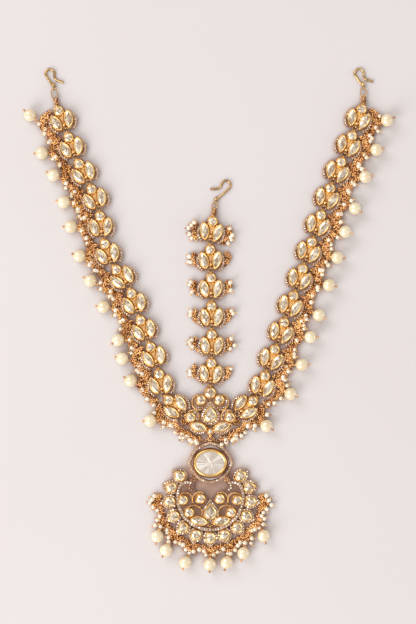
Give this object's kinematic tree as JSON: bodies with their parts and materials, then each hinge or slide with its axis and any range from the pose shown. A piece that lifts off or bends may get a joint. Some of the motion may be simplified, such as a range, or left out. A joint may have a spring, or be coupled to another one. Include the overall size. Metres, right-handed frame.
{
  "type": "matha patti",
  "caption": "Head ornament of three jewelled chains with hooks, meeting at a plaque above a crescent pendant edged with pearls and bead bunches; shown lying flat.",
  "frame": {"origin": "middle of the plaque's back, where the three chains meet", "axes": "+Y along the centre chain towards its hook, +X across the ornament, +Z out of the jewelled face; the ornament lies face up on z = 0"},
  "size_m": [0.178, 0.242, 0.006],
  "materials": {
    "gold": "polished gold plating",
    "bead_gold": "antique gold plating",
    "clear_stone": "clear cut stones backed with pale foil",
    "pearl": "glossy ivory pearl"
  },
  "bodies": {
    "root": {"left_setting_1": "gold", "left_setting_2": "gold", "left_setting_3": "gold", "left_setting_4": "gold", "left_setting_5": "gold", "left_setting_6": "gold", "left_setting_7": "gold", "left_setting_8": "gold", "left_setting_9": "gold", "left_setting_10": "gold", "left_setting_11": "gold", "left_setting_12": "gold", "right_setting_1": "gold", "right_setting_2": "gold", "right_setting_3": "gold", "right_setting_4": "gold", "right_setting_5": "gold", "right_setting_6": "gold", "right_setting_7": "gold", "right_setting_8": "gold", "right_setting_9": "gold", "right_setting_10": "gold", "right_setting_11": "gold", "right_setting_12": "gold", "centre_setting_1": "gold", "centre_setting_2": "gold", "centre_setting_3": "gold", "centre_setting_4": "gold", "centre_setting_5": "gold", "centre_setting_6": "gold", "junction_setting": "gold", "pendant_setting": "gold", "left_hook": "gold", "right_hook": "gold", "centre_hook": "gold", "oval_stone": "clear_stone", "left_stones": "clear_stone", "right_stones": "clear_stone", "centre_stones": "clear_stone", "junction_stones": "clear_stone", "pendant_stones": "clear_stone", "left_links": "bead_gold", "right_links": "bead_gold", "centre_links": "bead_gold", "pendant_link": "bead_gold", "left_bunches": "bead_gold", "right_bunches": "bead_gold", "centre_bunches": "bead_gold", "junction_bunches": "bead_gold", "pendant_bunches": "bead_gold", "left_pearls": "pearl", "right_pearls": "pearl", "pendant_pearls": "pearl"}
  },
  "joints": []
}
